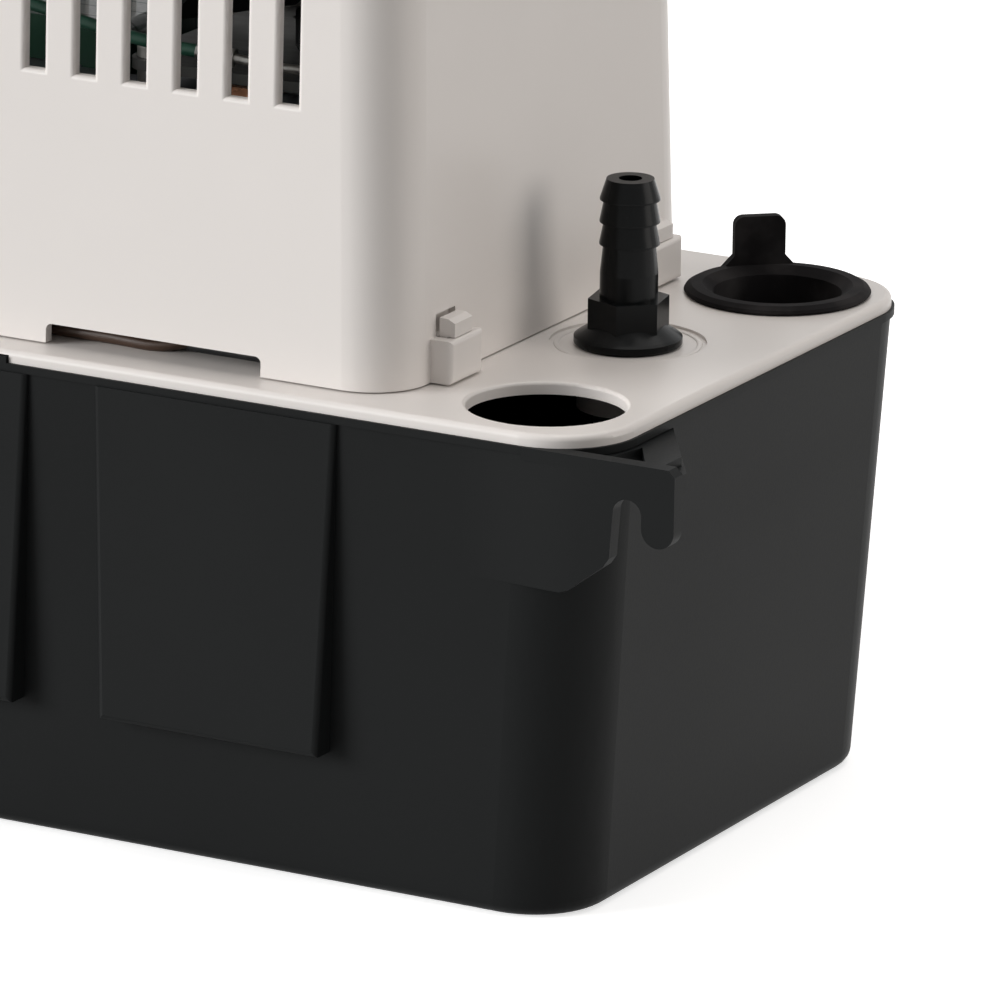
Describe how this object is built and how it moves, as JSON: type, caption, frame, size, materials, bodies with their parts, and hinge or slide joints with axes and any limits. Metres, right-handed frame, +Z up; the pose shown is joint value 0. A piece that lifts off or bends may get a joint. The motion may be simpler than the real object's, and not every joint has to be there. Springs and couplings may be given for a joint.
{
  "type": "condensate pump",
  "caption": "Condensate pump with a drafted black tank, pale deck plate, tall slotted motor cover, hanging ears, rubber inlet plugs and a barbed check valve outlet",
  "frame": {"origin": "centre of the tank's flat base, on the plane it stands on", "axes": "+X along the tank towards the discharge valve, +Y away from the wall side, +Z up"},
  "size_m": [0.3106, 0.1295, 0.1969],
  "materials": {
    "tank_plastic": "satin",
    "white_plastic": "satin",
    "black_plastic": "gloss",
    "plug_rubber": "matte",
    "soft_tube": "satin",
    "lamination_steel": "satin",
    "zinc_steel": "brushed",
    "shaft_steel": "polished",
    "copper_strap": "satin",
    "coil_wrap": "satin",
    "bobbin_plastic": "satin",
    "rotor_cast": "cast",
    "sintered_bronze": "matte",
    "fan_plastic": "satin",
    "grey_plastic": "satin",
    "float_foam": "matte",
    "ball_rubber": "satin"
  },
  "bodies": {
    "housing": {"tank": "tank_plastic", "deck_plate": "white_plastic", "motor_cover": "white_plastic", "check_valve_body": "black_plastic", "check_valve_seat": "black_plastic", "stator_stack": "lamination_steel", "shading_rings": "copper_strap", "coil_bobbin": "bobbin_plastic", "coil_winding": "coil_wrap", "lower_bearing_bracket": "zinc_steel", "upper_bearing_bracket": "zinc_steel", "lower_bearing": "sintered_bronze", "upper_bearing": "sintered_bronze", "through_bolts": "zinc_steel", "bolt_nuts": "zinc_steel", "bracket_spacers": "zinc_steel", "motor_grommets": "plug_rubber", "motor_screws": "zinc_steel", "pump_housing": "grey_plastic", "intake_plate": "grey_plastic", "discharge_tube": "soft_tube", "housing_screws": "zinc_steel", "intake_screws": "zinc_steel", "switch_bracket": "grey_plastic", "pump_switch": "black_plastic", "safety_switch": "black_plastic", "lever_pin": "shaft_steel", "switch_screws": "zinc_steel", "bracket_screws": "zinc_steel"},
    "rotor": {"rotor_core": "lamination_steel", "rotor_end_rings": "rotor_cast", "motor_shaft": "shaft_steel", "cooling_fan": "fan_plastic", "shaft_slinger": "plug_rubber", "impeller": "grey_plastic"},
    "float_assembly": {"float": "float_foam", "float_rod": "shaft_steel", "rod_collars": "black_plastic"},
    "lever": {"switch_lever": "zinc_steel"},
    "pump_plunger": {"pump_switch_plunger": "float_foam"},
    "safety_plunger": {"safety_switch_plunger": "float_foam"},
    "valve_ball": {"check_valve_ball": "ball_rubber"},
    "plug_rear_right": {"inlet_plug_rear_right": "plug_rubber"},
    "plug_front_left": {"inlet_plug_front_left": "plug_rubber"},
    "plug_rear_left": {"inlet_plug_rear_left": "plug_rubber"}
  },
  "joints": [
    {"name": "rotor_spin", "type": "hinge", "parent": "housing", "child": "rotor", "pos_m": [0.052, 0, 0.109], "axis": [0, 0, 1], "continuous": true},
    {"name": "float_lift", "type": "slide", "parent": "housing", "child": "float_assembly", "axis": [0, 0, 1], "range_m": [0, 0.024]},
    {"name": "lever_swing", "type": "hinge", "parent": "housing", "child": "lever", "pos_m": [-0.072, 0, 0.115], "axis": [0, -1, 0], "range_deg": [0, 12.05]},
    {"name": "pump_plunger_press", "type": "slide", "parent": "housing", "child": "pump_plunger", "axis": [0, 0, 1], "range_m": [0, 0.00121]},
    {"name": "safety_plunger_press", "type": "slide", "parent": "housing", "child": "safety_plunger", "axis": [0, 0, 1], "range_m": [0, 0.00121]},
    {"name": "ball_lift", "type": "slide", "parent": "housing", "child": "valve_ball", "axis": [0, 0, 1], "range_m": [0, 0.0028]},
    {"name": "plug_rear_right_pull", "type": "slide", "parent": "housing", "child": "plug_rear_right", "axis": [0, 0, 1], "range_m": [0, 0.025]},
    {"name": "plug_front_left_pull", "type": "slide", "parent": "housing", "child": "plug_front_left", "axis": [0, 0, 1], "range_m": [0, 0.025]},
    {"name": "plug_rear_left_pull", "type": "slide", "parent": "housing", "child": "plug_rear_left", "axis": [0, 0, 1], "range_m": [0, 0.025]}
  ],
  "couplings": [
    {"joint": "lever_swing", "follows": "float_lift", "rad_per_m": 8.7266},
    {"joint": "pump_plunger_press", "follows": "float_lift", "ratio": 0.05},
    {"joint": "safety_plunger_press", "follows": "float_lift", "ratio": 0.05}
  ]
}
